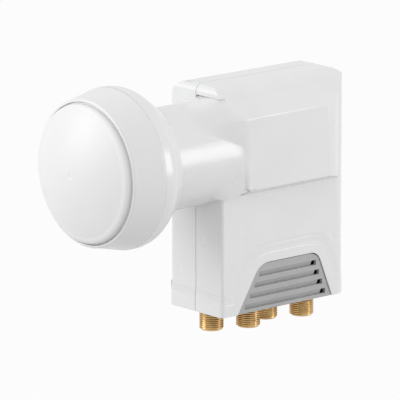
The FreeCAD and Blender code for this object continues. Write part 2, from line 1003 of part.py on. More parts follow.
room_low = (tray_front + tray_wall, tray_low + tray_wall)
room_high = (tray_rear - tray_wall, tray_high - tray_wall)
ledge = dim("tray_ledge")
upper_room = box(
    "upper_room", (board_x, room_low[0], room_low[1]), (rim_x + 5, room_high[0], room_high[1])
)
lower_room = box(
    "lower_room",
    (-tray_x + dim("tray_floor"), room_low[0] + ledge, room_low[1] + ledge),
    (board_x + 1, room_high[0] - ledge, room_high[1] - ledge),
)
web_x = rim_x - dim("web_margin")
web = box("web", (-web_x, tray_front, tray_high - 1), (web_x, tube_end, -bore_r - 1))

connector_front = dim("connector_front_margin")
connector_pitch = (depth - connector_front - dim("connector_rear_margin")) / 3
connector_places = []
for index in range(4):
    sign = -1 if index % 2 == 0 else 1
    across = dim("connector_stagger") * sign
    along = connector_front + connector_pitch * index
    connector_places.append((across, along))

probe_d = dim("probe_diameter")
bush_d = dim("bush_diameter")
probe_foot = -dim("probe_foot")
upright_y = dim("upright_probe_place")
bent_y = dim("bent_probe_place")
rod_y = dim("rod_place")
bush_low = room_high[1]
foot_run = bush_low - probe_foot + 2
rod_reach = bore_r + 1.5
shank_r = dim("shank_diameter") / 2
casting_cuts = [upper_room, lower_room]
for name, along in (("upright", upright_y), ("bent", bent_y)):
    casting_cuts.append(
        rod(name + "_hole", "z", (0, along, bush_low), bush_d + 0.1, -bush_low)
    )
    casting_cuts.append(
        rod(name + "_foot_hole", "z", (0, along, probe_foot - 1), probe_d + 0.2, foot_run)
    )
casting_cuts.append(
    rod("rod_hole", "z", (0, rod_y, -rod_reach - 0.1), probe_d + 0.1, rod_reach * 2 + 0.2)
)
for index, (across, along) in enumerate(connector_places, start=1):
    casting_cuts.append(
        rod(
            "shank_hole_%d" % index,
            "z",
            (across, along, tray_low - 1),
            shank_r * 2 + 0.1,
            tray_wall + ledge + 2,
        )
    )

# Lid screws, six along the rim of the tray
screw_d = dim("screw_diameter")
head_d = dim("screw_head")
head_depth = dim("screw_head_depth")
screw_length = dim("screw_length")
edge_in = tray_wall / 2
screw_places = []
for along in (tray_front + edge_in, depth / 2, tray_rear - edge_in):
    for level in (tray_low + edge_in, tray_high - edge_in):
        screw_places.append((along, level))
screws = []
shaft_holes = []
head_sinks = []
for index, (along, level) in enumerate(screw_places, start=1):
    name = "screw_%d" % index
    tip = (tray_x - screw_length, along, level)
    head = (tray_x - head_depth, along, level)
    shaft = rod(name + "_shaft", "x", tip, screw_d, screw_length)
    cap = rod(name + "_head", "x", head, head_d, head_depth)
    screws.append(fused(name, [shaft, cap]))
    casting_cuts.append(
        rod(name + "_thread", "x", (tip[0] - 0.3, along, level), screw_d + 0.1, screw_length)
    )
    shaft_holes.append(
        rod(name + "_lid_hole", "x", (tip[0], along, level), screw_d + 0.2, screw_length + 1)
    )
    head_sinks.append(
        rod(name + "_sink", "x", (head[0] - 0.05, along, level), head_d + 0.2, head_depth + 1)
    )
parts["lid_screws"] = grouped("lid_screws", screws)

parts["feed_casting"] = cut(
    "feed_casting",
    fused("casting_solid", [horn_tube, tray_slab("tray_block", -tray_x - 5, rim_x), web]),
    fused("casting_cuts", casting_cuts),
)
parts["tray_lid"] = cut(
    "tray_lid",
    tray_slab("lid_block", lid_x, tray_x + 5),
    fused("lid_cuts", shaft_holes + head_sinks),
)
gasket_room = box(
    "gasket_room",
    (rim_x - 5, room_low[0], room_low[1]),
    (lid_x + 5, room_high[0], room_high[1]),
)
parts["lid_gasket"] = cut(
    "lid_gasket",
    tray_slab("gasket_block", rim_x, lid_x),
    fused("gasket_cuts", [gasket_room] + shaft_holes),
)
parts["circuit_board"] = box(
    "circuit_board",
    (board_x, room_low[0] + fit_gap, room_low[1] + fit_gap),
    (board_x + dim("board_thickness"), room_high[0] - fit_gap, room_high[1] - fit_gap),
)

# Probes: one upright pin, one with its end turned along X, and the rod between them
upright_tip = -dim("upright_probe_reach")
parts["upright_probe"] = rod(
    "upright_probe", "z", (0, upright_y, probe_foot), probe_d, upright_tip - probe_foot
)
stem = rod("bent_stem", "z", (0, bent_y, probe_foot), probe_d, -probe_foot)
arm = rod("bent_arm", "x", (0, bent_y, 0), probe_d, dim("bent_probe_reach"))
elbow = doc.addObject("Part::Sphere", "bent_elbow")
bind(elbow, Radius=probe_d / 2, Placement__Base__y=bent_y)
parts["bent_probe"] = fused("bent_probe", [stem, arm, elbow])
for name, along in (("upright_bush", upright_y), ("bent_bush", bent_y)):
    plug = rod(name + "_plug", "z", (0, along, bush_low), bush_d, -bush_low - bore_r)
    pin_hole = rod(name + "_hole", "z", (0, along, bush_low - 1), probe_d + 0.1, 1 - bush_low)
    parts[name] = cut(name, plug, pin_hole)
parts["reflector_rod"] = rod(
    "reflector_rod", "z", (0, rod_y, -rod_reach), probe_d, rod_reach * 2
)

# Connectors with their insulators, contacts and seals
tip_z = -dim("connector_tip")
thread_r = dim("thread_diameter") / 2
chamfer = dim("thread_chamfer")
insulator_r = dim("insulator_diameter") / 2
socket_r = insulator_r + 0.05
flange_out = dim("collar_diameter") / 2
flange_low = tray_low - dim("collar_thickness")
relief = thread_r - dim("relief_depth")
seal_d = dim("seal_section")
seal_room = seal_d + 0.2
contact_r = dim("contact_diameter") / 2
contact_bore = dim("contact_bore") / 2
shank_top = tray_low + tray_wall
seals = []
for index, (across, along) in enumerate(connector_places, start=1):
    connector = revolved(
        "f_connector_%d" % index,
        "XZ_Plane",
        [
            (socket_r, tip_z),
            (thread_r - chamfer, tip_z),
            (thread_r, tip_z + chamfer),
            (thread_r, flange_low - dim("relief_length")),
            (relief, flange_low - dim("relief_length")),
            (relief, flange_low),
            (flange_out, flange_low),
            (flange_out, tray_low),
            (shank_r + seal_room, tray_low),
            (shank_r + seal_room, tray_low - seal_d - 0.05),
            (shank_r, tray_low - seal_d - 0.05),
            (shank_r, shank_top),
            (socket_r, shank_top),
        ],
    )
    insulator = revolved(
        "insulator_%d" % index,
        "XZ_Plane",
        [
            (contact_r + 0.1, tip_z + 0.8),
            (insulator_r, tip_z + 0.8),
            (insulator_r, shank_top - 0.3),
            (contact_r + 0.1, shank_top - 0.3),
        ],
    )
    contact = revolved(
        "contact_%d" % index,
        "XZ_Plane",
        [
            (contact_bore, tip_z + 1.2),
            (contact_r, tip_z + 1.2),
            (contact_r, shank_top - 0.2),
            (0, shank_top - 0.2),
            (0, shank_top - 4),
            (contact_bore, shank_top - 4),
        ],
    )
    for body in (connector, insulator, contact):
        bind(body, Placement__Base__x=across, Placement__Base__y=along)
        parts[body.Name] = body
    seal = ring_seal("seal_%d" % index, shank_r + seal_room / 2, seal_d, "z")
    bind(
        seal,
        Placement__Base__x=across,
        Placement__Base__y=along,
        Placement__Base__z=tray_low - seal_d / 2 - 0.02,
    )
    seals.append(seal)
parts["connector_seals"] = grouped("connector_seals", seals)
doc.recompute()

# Check and write
for obj in doc.Objects:
    if "Invalid" in obj.State or "Error" in obj.State:
        raise RuntimeError("%s is %s" % (obj.Name, obj.State))
os.makedirs("parts", exist_ok=True)
for name, obj in parts.items():
    obj.Label = name
    if obj.Shape.isNull() or not obj.Shape.isValid() or not obj.Shape.Solids:
        raise RuntimeError("%s has no valid solid" % name)
    obj.Shape.exportStep("parts/%s.step" % name)
    print("%-18s %2d solid(s) %9.1f mm3" % (name, len(obj.Shape.Solids), obj.Shape.Volume))
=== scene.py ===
# %% [markdown]
# # A satellite LNB, dressed for a studio picture
# The shapes and sizes come from the solid model, which is loaded as a fixed frame. This lesson
# gives each piece its finish, adds the fine forms that a solid model leaves out, such as the
# threads of the connectors, and sets up a camera and a small studio.

# %% Load the frame
import math
import bpy
import numpy as np
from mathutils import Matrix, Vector


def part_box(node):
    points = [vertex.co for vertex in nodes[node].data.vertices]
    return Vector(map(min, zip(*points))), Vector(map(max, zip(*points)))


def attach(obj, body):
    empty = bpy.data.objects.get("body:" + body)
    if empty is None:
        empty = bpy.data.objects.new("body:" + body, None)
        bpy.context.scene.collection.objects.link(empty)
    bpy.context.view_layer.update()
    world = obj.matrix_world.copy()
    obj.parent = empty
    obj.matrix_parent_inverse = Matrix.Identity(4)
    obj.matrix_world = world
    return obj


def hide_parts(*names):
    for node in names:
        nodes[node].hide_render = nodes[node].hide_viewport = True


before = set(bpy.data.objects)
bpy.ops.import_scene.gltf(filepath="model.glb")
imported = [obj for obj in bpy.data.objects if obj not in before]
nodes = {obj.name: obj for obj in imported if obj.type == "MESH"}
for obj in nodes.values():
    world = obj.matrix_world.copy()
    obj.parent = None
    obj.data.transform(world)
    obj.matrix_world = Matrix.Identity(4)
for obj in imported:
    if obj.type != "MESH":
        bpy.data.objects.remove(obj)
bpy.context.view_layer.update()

# %% [markdown]
# ## The camera
# The photograph is a product shot taken from far away with a long lens, so parallel edges stay
# parallel. The camera stands 49 degrees round from the horn's front and 13 degrees up.

# %% Set the camera
AIM = Vector((0.0, 0.0021, -0.0187))
AZIMUTH, ELEVATION, DISTANCE = math.radians(49.0), math.radians(13.0), 2.0
to_camera = Vector((
    math.sin(AZIMUTH) * math.cos(ELEVATION),
    -math.cos(AZIMUTH) * math.cos(ELEVATION),
    math.sin(ELEVATION),
))
camera_data = bpy.data.cameras.new("studio_camera")
camera_data.sensor_width = 36.0
camera_data.lens = 470.0
camera = bpy.data.objects.new("studio_camera", camera_data)
camera.location = AIM + to_camera * DISTANCE
camera.rotation_euler = (-to_camera).to_track_quat("-Z", "Y").to_euler()
bpy.context.collection.objects.link(camera)
bpy.context.scene.camera = camera
print("camera at", tuple(round(c, 3) for c in camera.location))

# %% [markdown]
# ## Smooth shading on the loaded shells
# A loaded node is a cloud of loose triangles. A Weld modifier joins them again, an Edge Split
# keeps true edges crisp, and Weighted Normal lets each large flat face keep its own direction, so
# that a soft edge doesn't smear across a whole side. The mesh itself is left as it is.

# %% Shade the loaded nodes
def shade_smooth(node, angle=30.0):
    """Join the triangles, shade them smoothly and keep edges sharper than the angle."""
    mesh = node.data
    mesh.polygons.foreach_set("use_smooth", np.ones(len(mesh.polygons), dtype=bool))
    weld = node.modifiers.new("join", "WELD")
    weld.merge_threshold = 2e-6
    split = node.modifiers.new("edges", "EDGE_SPLIT")
    split.split_angle = math.radians(angle)
    split.use_edge_sharp = False
    flat = node.modifiers.new("flats", "WEIGHTED_NORMAL")
    flat.mode = "FACE_AREA"
    flat.weight = 100
    flat.thresh = 0.01


for node in nodes.values():
    shade_smooth(node)
print("shaded", len(nodes), "nodes")

# %% [markdown]
# ## Finishes
# Every finish is a small node tree on Object coordinates, so its grain has a real size in metres
# and stays put when the piece moves. Moulded plastic gets a very fine spark-erosion grain, a soft
# unevenness of gloss and a hint of cloudiness in the colour.

# %% Node helpers
def new_finish(name):
    """A new material: returns it, its shader, a function that adds nodes and one that links them."""
    material = bpy.data.materials.new(name)
    material.use_nodes = True
    tree = material.node_tree
    shader = tree.nodes["Principled BSDF"]

    def add(kind, links=(), **sockets):
        node = tree.nodes.new(kind)
        for socket, value in sockets.items():
            node.inputs[socket.replace("_", " ")].default_value = value
        for socket, source in links:
            tree.links.new(source, node.inputs[socket])
        return node

    return material, shader, add, tree.links.new


def ramp_of(node, low, high, dark, light):
    """Spread a colour ramp between two stops."""
    ramp = node.color_ramp
    ramp.elements[0].position = low
    ramp.elements[1].position = high
    ramp.elements[0].color = (*dark, 1.0)
    ramp.elements[1].color = (*light, 1.0)
    return node


def grey(value):
    return (value, value, value)


# %% Moulded plastic
CLOUD_SCALE, PATCH_SCALE, GLOSS_SPREAD = 55.0, 140.0, 0.04


def moulded_plastic(
    name, dark, light, rough, grain_scale, grain_depth, specular=0.5, relief=None, painted_shade=None
):
    """Plastic from a mould: cloudy colour, uneven gloss, a fine eroded grain, any relief or painted shade.
    """
    material, shader, add, link = new_finish(name)
    place = add("ShaderNodeTexCoord").outputs["Object"]
    cloud = add("ShaderNodeTexNoise", [("Vector", place)], Scale=CLOUD_SCALE, Detail=3.0)
    tint = ramp_of(add("ShaderNodeValToRGB", [("Fac", cloud.outputs["Fac"])]), 0.3, 0.7, dark, light)
    link(tint.outputs["Color"], shader.inputs["Base Color"])
    patch = add("ShaderNodeTexNoise", [("Vector", place)], Scale=PATCH_SCALE, Detail=4.0)
    gloss = add("ShaderNodeMapRange", [("Value", patch.outputs["Fac"])])
    gloss.inputs["From Min"].default_value = 0.3
    gloss.inputs["From Max"].default_value = 0.7
    gloss.inputs["To Min"].default_value = rough - GLOSS_SPREAD
    gloss.inputs["To Max"].default_value = rough + GLOSS_SPREAD
    link(gloss.outputs["Result"], shader.inputs["Roughness"])
    grain = add("ShaderNodeTexNoise", [("Vector", place)], Scale=grain_scale, Detail=2.0)
    bump = add("ShaderNodeBump", [("Height", grain.outputs["Fac"])], Strength=0.25)
    bump.inputs["Distance"].default_value = grain_depth
    link(bump.outputs["Normal"], shader.inputs["Normal"])
    if relief:
        relief(add, link, place, bump)
    if painted_shade:
        painted_shade(add, link, shader, tint.outputs["Color"], place)
    shader.inputs["Specular IOR Level"].default_value = specular
    return material


# %% Fine lines along the skirt
# The skirt in metres: its ramp starts ARCH_BORDER outside the arch, and at SKIRT_TOP round the foot.
FOOT, SHOULDER = -0.0622, -0.0435
ARCH_SIDES = (((0.0076, FOOT), (0.0190, SHOULDER)), ((0.0490, SHOULDER), (0.0566, FOOT)))
ARCH_BORDER, SKIRT_TOP = 0.005, -0.0562
ARCH_ROUNDING, JOIN_ROUNDING = 0.010, 0.002
RAMP_START, RAMP_END, RELIEF_DEPTH = -0.002, 0.004, 0.00039
# Stops of the relief as (share of the ramp, share of the depth).
FIRST_STOP, LAST_STOP = (0.0917, 0.103), (0.8333, 1.0)
GROOVES = (
    (0.1333, 0.0), (0.175, 0.103), (0.3333, 0.103), (0.6083, 0.596), (0.65, 0.568), (0.6917, 0.746)
)


def skirt_lines(add, link, place, grain):
    """Bump = a slope that evens out the ramp, with two fine grooves, over the distance up the ramp."""

    def maths(operation, first, second, third=0.0):
        node = add("ShaderNodeMath")
        node.operation = operation
        for socket, value in zip(node.inputs, (first, second, third)):
            if isinstance(value, float):
                socket.default_value = value
            else:
                link(value, socket)
        return node.outputs[0]

    height = add("ShaderNodeSeparateXYZ", [("Vector", place)]).outputs["Z"]
    outside = maths("SUBTRACT", height, SHOULDER)
    for (start_y, start_z), (end_y, end_z) in ARCH_SIDES:
        length = math.hypot(end_y - start_y, end_z - start_z)
        across = (0.0, (start_z - end_z) / length, (end_y - start_y) / length)
        slant = add("ShaderNodeVectorMath", [(0, place)])
        slant.operation = "DOT_PRODUCT"
        slant.inputs[1].default_value = across
        start = across[1] * start_y + across[2] * start_z
        beside = maths("SUBTRACT", slant.outputs["Value"], start)
        outside = maths("SMOOTH_MAX", outside, beside, ARCH_ROUNDING)
    over_arch = maths("SUBTRACT", outside, ARCH_BORDER)
    over_skirt = maths("SUBTRACT", height, SKIRT_TOP)
    climb = maths("SMOOTH_MIN", over_arch, over_skirt, JOIN_ROUNDING)
    along = add("ShaderNodeMapRange", [("Value", climb)])
    along.inputs["From Min"].default_value = RAMP_START
    along.inputs["From Max"].default_value = RAMP_END
    steps = add("ShaderNodeValToRGB", [("Fac", along.outputs["Result"])])
    ramp_of(steps, FIRST_STOP[0], LAST_STOP[0], grey(FIRST_STOP[1]), grey(LAST_STOP[1]))
    for position, share in GROOVES:
        steps.color_ramp.elements.new(position).color = (*grey(share), 1.0)
    lines = add("ShaderNodeBump", [("Height", steps.outputs["Color"])], Strength=1.0)
    lines.inputs["Distance"].default_value = RELIEF_DEPTH
    link(lines.outputs["Normal"], grain.inputs["Normal"])


# %% Painted shade in the vents of the grips
# The vents lie deeper than VENT_DEPTH and below VENT_TOP, in a strip along the grip's rear edge.
# The shade inside the vents is painted into the base colour as a near-black grey.
VENT_DEPTH, VENT_TOP = 0.0139, -0.0445
REAR_LEAN, STRIP_MIDDLE, STRIP_HALF = 0.4064, 0.02805, 0.00225
VENT_PAINTED_SHADE = 0.012


def vent_painted_shade(add, link, shader, tint, place):
    """Painted shade: base colour = dark where a point is in the strip, deep and low enough for a vent,
    else the tint.
    """

    def test(operation, source, limit, margin=0.0):
        node = add("ShaderNodeMath", [(0, source)])
        node.operation = operation
        node.inputs[1].default_value = limit
        node.inputs[2].default_value = margin
        return node.outputs[0]

    axes = add("ShaderNodeSeparateXYZ", [("Vector", place)])
    leaning = add("ShaderNodeVectorMath", [(0, place)])
    leaning.operation = "DOT_PRODUCT"
    leaning.inputs[1].default_value = (0.0, 1.0, REAR_LEAN)
    deep = test("LESS_THAN", test("ABSOLUTE", axes.outputs["X"], 0.0), VENT_DEPTH)
    low = test("LESS_THAN", axes.outputs["Z"], VENT_TOP)
    in_strip = test("COMPARE", leaning.outputs["Value"], STRIP_MIDDLE, STRIP_HALF)
    share = in_strip
    for other in (deep, low):
        both = add("ShaderNodeMath", [(0, share), (1, other)])
        both.operation = "MULTIPLY"
        share = both.outputs[0]
    # Painted shade: the darkness of the vents is mixed into the base colour here.
    painted_shade_mix = add("ShaderNodeMix", [("Factor", share)])
    painted_shade_mix.data_type = "RGBA"
    link(tint, painted_shade_mix.inputs[6])
    painted_shade_mix.inputs[7].default_value = (*grey(VENT_PAINTED_SHADE), 1.0)
    link(painted_shade_mix.outputs[2], shader.inputs["Base Color"])


# %% The plastics
white_shell = moulded_plastic(
    "white_moulding", (0.775, 0.777, 0.78), (0.80, 0.80, 0.80), 0.24, 2600.0, 2e-5, relief=skirt_lines
)
white_window = moulded_plastic("white_window", grey(0.80), grey(0.82), 0.4, 2600.0, 2e-5)
# The grey guard carries painted shade in its vents, in the base colour.
grey_guard = moulded_plastic("grey_moulding", grey(0.40), grey(0.44), 0.5, 2200.0, 4e-5, painted_shade=vent_painted_shade)
insulator_white = moulded_plastic(
    "white_insulator", (0.76, 0.75, 0.71), (0.80, 0.79, 0.75), 0.45, 3000.0, 1e-5
)
seal_black = moulded_plastic("black_rubber", grey(0.018), grey(0.028), 0.7, 1800.0, 3e-5, 0.3)
seal_pale = moulded_plastic("pale_silicone", grey(0.52), grey(0.58), 0.6, 1800.0, 3e-5, 0.4)
print("plastics made")

# %% Metals and the board
def turned_brass(name):
    """Brass off a lathe: fine rings round the upright axis, and a little tarnish."""
    material, shader, add, link = new_finish(name)
    place = add("ShaderNodeTexCoord").outputs["Object"]
    rings = add("ShaderNodeTexWave", [("Vector", place)], Scale=900.0, Distortion=1.5, Detail=2.0)
    rings.bands_direction = "Z"
    tarnish = add("ShaderNodeTexNoise", [("Vector", place)], Scale=260.0, Detail=5.0)
    tint = ramp_of(
        add("ShaderNodeValToRGB", [("Fac", tarnish.outputs["Fac"])]),
        0.3, 0.72, (0.42, 0.253, 0.095), (0.75, 0.50, 0.225),
    )
    link(tint.outputs["Color"], shader.inputs["Base Color"])
    gloss = add("ShaderNodeMapRange", [("Value", tarnish.outputs["Fac"])])
    gloss.inputs["To Min"].default_value = 0.14
    gloss.inputs["To Max"].default_value = 0.32
    link(gloss.outputs["Result"], shader.inputs["Roughness"])
    bump = add("ShaderNodeBump", [("Height", rings.outputs["Fac"])], Strength=0.15)
    bump.inputs["Distance"].default_value = 1e-5
    link(bump.outputs["Normal"], shader.inputs["Normal"])
    shader.inputs["Metallic"].default_value = 1.0
    return material


def cast_metal(name, dark, light, rough, grain_scale, depth):
    """A die casting: mottled grey with a pebbled skin."""
    material, shader, add, link = new_finish(name)
    place = add("ShaderNodeTexCoord").outputs["Object"]
    mottle = add("ShaderNodeTexNoise", [("Vector", place)], Scale=180.0, Detail=6.0)
    tint = ramp_of(add("ShaderNodeValToRGB", [("Fac", mottle.outputs["Fac"])]), 0.3, 0.7, dark, light)
    link(tint.outputs["Color"], shader.inputs["Base Color"])
    gloss = add("ShaderNodeMapRange", [("Value", mottle.outputs["Fac"])])
    gloss.inputs["To Min"].default_value = rough - 0.08
    gloss.inputs["To Max"].default_value = rough + 0.08
    link(gloss.outputs["Result"], shader.inputs["Roughness"])
    skin = add("ShaderNodeTexVoronoi", [("Vector", place)], Scale=grain_scale)
    bump = add("ShaderNodeBump", [("Height", skin.outputs["Distance"])], Strength=0.2)
    bump.inputs["Distance"].default_value = depth
    link(bump.outputs["Normal"], shader.inputs["Normal"])
    shader.inputs["Metallic"].default_value = 1.0
    return material


def circuit_laminate(name):
    """Green solder mask with paler copper tracks showing through."""
    material, shader, add, link = new_finish(name)
    place = add("ShaderNodeTexCoord").outputs["Object"]
    tracks = add("ShaderNodeTexBrick", [("Vector", place)], Scale=160.0)
    tracks.inputs["Color1"].default_value = (0.012, 0.09, 0.035, 1.0)
    tracks.inputs["Color2"].default_value = (0.016, 0.11, 0.045, 1.0)
    tracks.inputs["Mortar"].default_value = (0.05, 0.22, 0.09, 1.0)
    link(tracks.outputs["Color"], shader.inputs["Base Color"])
    bump = add("ShaderNodeBump", [("Height", tracks.outputs["Fac"])], Strength=0.3)
    bump.inputs["Distance"].default_value = 3e-5
    link(bump.outputs["Normal"], shader.inputs["Normal"])
    shader.inputs["Roughness"].default_value = 0.35
    return material


connector_brass = turned_brass("turned_brass")
die_cast = cast_metal("die_casting", grey(0.42), grey(0.56), 0.42, 1500.0, 4e-5)
# Painted shade: the lid's near-black grey stands in for the dark cavity seen through the vents.
lid_painted_shade = cast_metal("lid_sheet_painted_shade", grey(0.03), grey(0.05), 0.5, 2400.0, 1e-5)
zinc = cast_metal("zinc_screw", (0.44, 0.45, 0.47), (0.55, 0.56, 0.58), 0.3, 3000.0, 1e-5)
laminate = circuit_laminate("green_laminate")
print("metals and laminate made")

# %% Put the finishes on the loaded nodes
FINISHES = {
    white_shell: ["main_shell", "side_cover"],
    white_window: ["feed_window"],
    grey_guard: ["weather_guard"],
    seal_pale: ["window_seal"],
    seal_black: ["lid_gasket", "connector_seals"],
    die_cast: ["feed_casting"],
    lid_painted_shade: ["tray_lid"],
    zinc: ["lid_screws"],
    laminate: ["circuit_board"],
    insulator_white: ["upright_bush", "bent_bush"] + ["insulator_%d" % i for i in range(1, 5)],
    connector_brass: ["upright_probe", "bent_probe", "reflector_rod"]
    + ["f_connector_%d" % i for i in range(1, 5)]
    + ["contact_%d" % i for i in range(1, 5)],
}
for finish, names in FINISHES.items():
    for name in names:
        slots = nodes[name].data.materials
        slots.clear()
        slots.append(finish)
print("finished", sum(len(names) for names in FINISHES.values()), "nodes")

# %% [markdown]
# ## Turned and moulded pieces as surfaces
# A turned piece is a profile carried round an axis. With numpy the whole surface is one array:
# the angle runs along one side of a grid and the place on the profile along the other. The
# connector's profile is a closed loop, so its grid closes on itself both ways, like a tyre tube.

# %% Surface helpers
def add_piece(name, points, faces, finish, body, node=None):
    """A mesh object that rides on a body and may stand in for a loaded node."""
    mesh = bpy.data.meshes.new(name)
    mesh.from_pydata(points, [], faces)
    mesh.polygons.foreach_set("use_smooth", np.ones(len(mesh.polygons), dtype=bool))
    mesh.materials.append(finish)
    piece = bpy.data.objects.new(name, mesh)
    bpy.context.collection.objects.link(piece)
    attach(piece, body)
    if node:
        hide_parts(node)
    return piece


def ring_faces(rows, columns, closed_rows):
    """Quads of a grid that closes round its columns, and round its rows if asked."""
    row = np.arange(rows if closed_rows else rows - 1)[:, None]
    column = np.arange(columns)[None, :]
    after_row = (row + 1) % rows
    after_column = (column + 1) % columns
    corners = [
        row * columns + column,
        row * columns + after_column,
        after_row * columns + after_column,
        after_row * columns + column,
    ]
    return np.stack(corners, axis=-1).reshape(-1, 4)


def along_profile(corners, spacing):
    """Points spaced evenly along each straight run of a profile given as (radius, height) rows."""
    corners = np.array(corners)
    runs = []
    for start, end in zip(corners, np.roll(corners, -1, axis=0)):
        count = max(1, int(np.ceil(np.linalg.norm(end - start) / spacing)))
        share = np.arange(count)[:, None] / count
        runs.append(start + (end - start) * share)
    return np.concatenate(runs)


# %% [markdown]
# ## Connectors
# The outputs are F sockets, turned from brass bar with a 3/8 inch thread of 32 turns to the inch.
# The thread is cut here as a helix: the radius falls by a V that turns with the angle and climbs
# with the height. It fades out at the chamfered end and stops at a plain relief below the collar.

# %% Threaded connectors
PITCH = 0.0254 / 32
THREAD_DEPTH = 0.0002
BORE_R, SHANK_R, RELIEF_R, THREAD_R, COLLAR_R = 0.00325, 0.0040, 0.00425, 0.00475, 0.0055
THREAD_END, RELIEF_END, COLLAR_END = -0.0601, -0.0591, -0.0575
CHAMFER, CHAMFER_LIP, TIP_FADE, END_FADE = 0.0007, 0.0001, 0.0010, 0.0004
# The V is a little steeper than its pitch asks, so its crests and its roots keep a narrow flat.
VEE_STEEPNESS, CREST_FLAT = 1.25, 0.15


def threaded_barrel(low, high, centre):
    """Radius = profile - depth * V(height / pitch + angle / turn), with the V only on the thread."""
    tip, top = low[2], high[2]
    profile = along_profile(
        [
            (BORE_R, tip),
            (THREAD_R - CHAMFER, tip),
            (THREAD_R - CHAMFER_LIP, tip + CHAMFER - CHAMFER_LIP),
            (THREAD_R, tip + CHAMFER),
            (THREAD_R, THREAD_END),
            (RELIEF_R, THREAD_END),
            (RELIEF_R, RELIEF_END),
            (COLLAR_R, RELIEF_END),
            (COLLAR_R, COLLAR_END),
            (SHANK_R, COLLAR_END),
            (SHANK_R, top),
            (BORE_R, top),
        ],
        PITCH / 9,
    )
    radius, height = profile[:, 0:1], profile[:, 1:2]
    angle = np.linspace(0.0, 2.0 * math.pi, 96, endpoint=False)[None, :]
    phase = (height / PITCH + angle / (2.0 * math.pi)) % 1.0
    vee = np.clip(VEE_STEEPNESS * np.abs(2.0 * phase - 1.0) - CREST_FLAT, 0.0, 1.0)
    tip_fade = np.clip((height - tip) / TIP_FADE, 0.0, 1.0)
    end_fade = np.clip((THREAD_END - height) / END_FADE, 0.0, 1.0)
    on_thread = (radius > (BORE_R + THREAD_R) / 2) & (height < THREAD_END) & (height > tip)
    radius = radius - THREAD_DEPTH * vee * tip_fade * end_fade * on_thread
    grid = np.stack(
        [
            centre[0] + radius * np.cos(angle),
            centre[1] + radius * np.sin(angle),
            height + 0.0 * angle,
        ],
        axis=-1,
    )
    return grid.reshape(-1, 3), ring_faces(len(profile), angle.size, True)


for number in range(1, 5):
    node_name = "f_connector_%d" % number
    low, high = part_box(node_name)
    centre = [(low[axis] + high[axis]) / 2 for axis in range(2)]
    points, faces = threaded_barrel(low, high, centre)
    add_piece("threaded_connector_%d" % number, points, faces, connector_brass, "lnb", node_name)
print("cut", len(faces), "thread faces on each connector")

# %% [markdown]
# ## The feed window
# The white disc over the horn is a thin moulded cap. Near its edge the dome breaks into a rounded
# band, which drops into a shallow groove inside the bell's rim. The cap was filled through one
# point in its middle, where the gate leaves a small dimple. The whole cap is one profile turned
# about the feed axis.

# %% Profile of the window
DOME_RISE, DOME_EDGE, WINDOW_WALL = 0.0062, 0.0009, 0.0018
BAND_WIDTH, BAND_DROP, BAND_LEAN = 0.0028, 0.0007, math.radians(24.0)
SHOULDER_INSET, SHOULDER_STEP, GROOVE_FLANGE = 0.00045, 0.0001, 0.00028
GROOVE_DEPTHS = np.array([0.0012, 0.0014, 0.0015, 0.0018, 0.0021])
DIMPLE_DEPTH, DIMPLE_R, POLE_R = 0.0002, 0.0011, 0.0002
FINE_ROWS_END, COARSE_ROWS_START = 0.003, 0.0034


def window_profile(reach, apex, back):
    """Radius and depth: a sphere with a dimple, a rounded band, a groove, a wall and the sphere inside."""
    sphere = ((reach - DOME_EDGE) ** 2 + DOME_RISE ** 2) / (2.0 * DOME_RISE)
    crease = reach - BAND_WIDTH
    face_r = np.concatenate([
        np.linspace(POLE_R, FINE_ROWS_END, 16),
        np.linspace(COARSE_ROWS_START, crease, 48),
    ])
    face_y = apex + sphere - np.sqrt(sphere ** 2 - face_r ** 2)
    dimple = DIMPLE_DEPTH * np.exp(-((face_r / DIMPLE_R) ** 4))
    turn = np.linspace(BAND_LEAN, math.pi / 2, 16)[1:]
    swing = (np.sin(turn) - math.sin(BAND_LEAN)) / (1.0 - math.sin(BAND_LEAN))
    drop = 1.0 - np.cos(turn) / math.cos(BAND_LEAN)
    shoulder, flange = reach - SHOULDER_INSET, reach + GROOVE_FLANGE
    band_r = crease + (shoulder - crease) * swing
    band_y = face_y[-1] + (apex + DOME_RISE + BAND_DROP - face_y[-1]) * drop
    groove_r = np.array([shoulder, shoulder + SHOULDER_STEP, flange, flange, reach, reach])
    groove_y = np.append(band_y[-1] + GROOVE_DEPTHS, back)
    inner = reach - WINDOW_WALL
    under_r = np.linspace(inner - DOME_EDGE, POLE_R, 30)
    under_y = apex + sphere - np.sqrt((sphere - WINDOW_WALL) ** 2 - under_r ** 2)
    wall_y = [back, apex + DOME_RISE + DOME_EDGE]
    radius = np.concatenate([face_r, band_r, groove_r, [inner, inner], under_r])
    depth = np.concatenate([face_y + dimple, band_y, groove_y, wall_y, under_y])
    return radius, depth


# %% Domed window with its dimple
def domed_window(low, high):
    """The profile turned about the feed axis and closed by a point at each end."""
    radius, depth = window_profile((high[0] - low[0]) / 2, low[1], high[1])
    angle = np.linspace(0.0, 2.0 * math.pi, 128, endpoint=False)[None, :]
    grid = np.stack(
        [
            radius[:, None] * np.cos(angle),
            depth[:, None] + 0.0 * angle,
            radius[:, None] * np.sin(angle),
        ],
        axis=-1,
    ).reshape(-1, 3)
    rows, columns = len(radius), angle.size
    poles = np.array([[0.0, depth[0], 0.0], [0.0, depth[-1], 0.0]])
    around = np.arange(columns)
    beside = (around + 1) % columns
    first_pole = np.full(columns, rows * columns)
    first = np.stack([around, beside, first_pole], axis=-1)
    last_row = (rows - 1) * columns
    last = np.stack([last_row + beside, last_row + around, first_pole + 1], axis=-1)
    quads = np.flip(ring_faces(rows, columns, False), axis=1)
    return np.concatenate([grid, poles]), first.tolist() + quads.tolist() + last.tolist()


